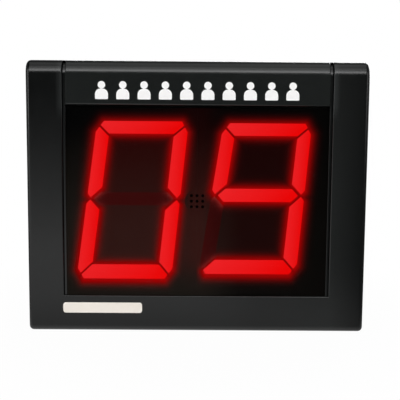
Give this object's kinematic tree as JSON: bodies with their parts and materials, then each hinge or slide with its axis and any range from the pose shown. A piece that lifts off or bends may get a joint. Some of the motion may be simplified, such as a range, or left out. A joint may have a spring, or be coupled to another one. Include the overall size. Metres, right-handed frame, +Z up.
{
  "type": "queue number display",
  "caption": "Desk or wall queue number display: large slanted segment figures behind a dark lift-out filter under a header bar, with keys and sockets in a recess at the back.",
  "frame": {"origin": "middle of the resting surface under the feet, below the middle of the case", "axes": "+Z up, -Y out of the front face, +X to the right of someone reading the figures"},
  "size_m": [0.2756, 0.058, 0.2221],
  "materials": {
    "case_plastic": "fine moulded texture",
    "filter": "smooth and dark, see-through",
    "block_plastic": "moulded",
    "lens_lit": "glowing red",
    "lens_dark": "unlit red",
    "lamp": "clear resin",
    "board": "coated laminate",
    "chip": "moulded",
    "component_metal": "plain",
    "heat_sink": "dark anodised",
    "jack_plastic": "moulded",
    "contact": "plain",
    "key_plastic": "moulded",
    "steel": "zinc plated",
    "rubber": "soft"
  },
  "bodies": {
    "housing": {"front_housing": "case_plastic", "rear_housing": "case_plastic", "tens_block": "block_plastic", "units_block": "block_plastic", "tens_segment_a": "lens_lit", "tens_segment_b": "lens_lit", "tens_segment_c": "lens_lit", "tens_segment_d": "lens_lit", "tens_segment_e": "lens_lit", "tens_segment_f": "lens_lit", "tens_segment_g": "lens_dark", "units_segment_a": "lens_lit", "units_segment_b": "lens_lit", "units_segment_c": "lens_lit", "units_segment_d": "lens_lit", "units_segment_e": "lens_dark", "units_segment_f": "lens_lit", "units_segment_g": "lens_lit", "tens_lamps": "lamp", "units_lamps": "lamp", "digit_board": "board", "control_board": "board", "tens_driver": "chip", "units_driver": "chip", "microcontroller": "chip", "storage_capacitors": "component_metal", "voltage_regulator": "chip", "heat_sink": "heat_sink", "board_link": "chip", "sounder": "chip", "power_jack": "jack_plastic", "remote_jack": "jack_plastic", "remote_jack_contacts": "contact", "advance_switch": "chip", "back_switch": "chip", "volume_switch": "component_metal", "case_screws": "steel", "digit_board_screws": "steel", "control_board_screws": "steel", "rubber_feet": "rubber"},
    "front_insert": {"header_frame": "case_plastic", "window_filter": "filter"},
    "advance_key": {"advance_button": "key_plastic", "advance_plunger": "chip"},
    "back_key": {"back_button": "key_plastic", "back_plunger": "chip"},
    "volume_slider": {"volume_knob": "key_plastic"}
  },
  "joints": [
    {"name": "insert_lift", "type": "slide", "parent": "housing", "child": "front_insert", "axis": [0, 0, 1], "range_m": [0, 0.188]},
    {"name": "advance_press", "type": "slide", "parent": "housing", "child": "advance_key", "axis": [0, -1, 0], "range_m": [0, 0.0015], "stiffness_N_per_m": 2000},
    {"name": "back_press", "type": "slide", "parent": "housing", "child": "back_key", "axis": [0, -1, 0], "range_m": [0, 0.0015], "stiffness_N_per_m": 2000},
    {"name": "volume_slide", "type": "slide", "parent": "housing", "child": "volume_slider", "axis": [1, 0, 0], "range_m": [0, 0.005]}
  ]
}
